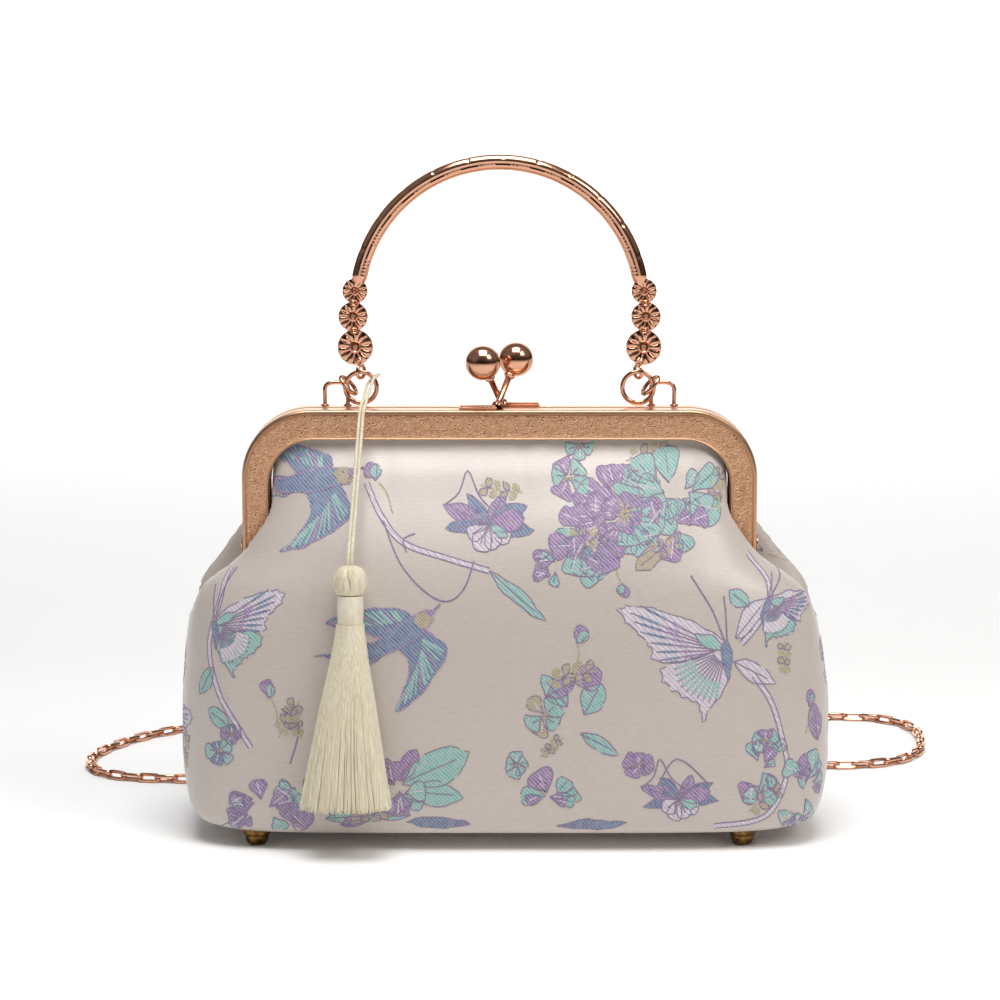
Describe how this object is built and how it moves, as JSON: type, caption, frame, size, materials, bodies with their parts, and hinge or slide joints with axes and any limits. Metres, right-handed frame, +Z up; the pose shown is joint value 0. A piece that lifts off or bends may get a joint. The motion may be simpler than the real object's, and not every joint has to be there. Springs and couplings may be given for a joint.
{
  "type": "chinese embroidered purse",
  "caption": "Brocade handbag in a rose-gold kiss-lock frame, with an arched top handle that swings, a silk tassel, metal feet and a shoulder chain laid behind it.",
  "frame": {"origin": "on the floor, under the middle of the footprint of all but the tassel, shoulder chain included", "axes": "+X to the right as the front is seen, +Y to the back, +Z up"},
  "size_m": [0.3284, 0.2283, 0.2378],
  "materials": {
    "brocade": "ivory satin brocade with woven teal, violet, slate and gold motifs",
    "frame_gold": "rose-gold plating with a fine embossed grain, satin",
    "polished_gold": "polished rose-gold plating",
    "antique_brass": "darkened brass",
    "silk": "cream silk thread and satin"
  },
  "bodies": {
    "root": {"bag_body": "brocade", "frame_front": "frame_gold", "frame_back": "frame_gold", "lock_front": "polished_gold", "lock_back": "polished_gold", "hinge_pin_left": "polished_gold", "hinge_pin_right": "polished_gold", "ear_left": "polished_gold", "ear_right": "polished_gold", "link_left": "polished_gold", "link_right": "polished_gold", "ring_left": "polished_gold", "ring_right": "polished_gold", "chain_staple_left": "polished_gold", "chain_staple_right": "polished_gold", "foot_front_left": "antique_brass", "foot_front_right": "antique_brass", "foot_back_left": "antique_brass", "foot_back_right": "antique_brass", "chain_left": "polished_gold", "chain_right": "polished_gold", "tassel_cord": "silk", "tassel_head": "silk", "tassel_band": "silk", "tassel_skirt": "silk"},
    "handle": {"handle": "polished_gold"}
  },
  "joints": [
    {"name": "handle_swing", "type": "hinge", "parent": "root", "child": "handle", "pos_m": [-0.00498, -0.06177, 0.16175], "axis": [1, 0, 0], "range_deg": [-105, 95]}
  ]
}
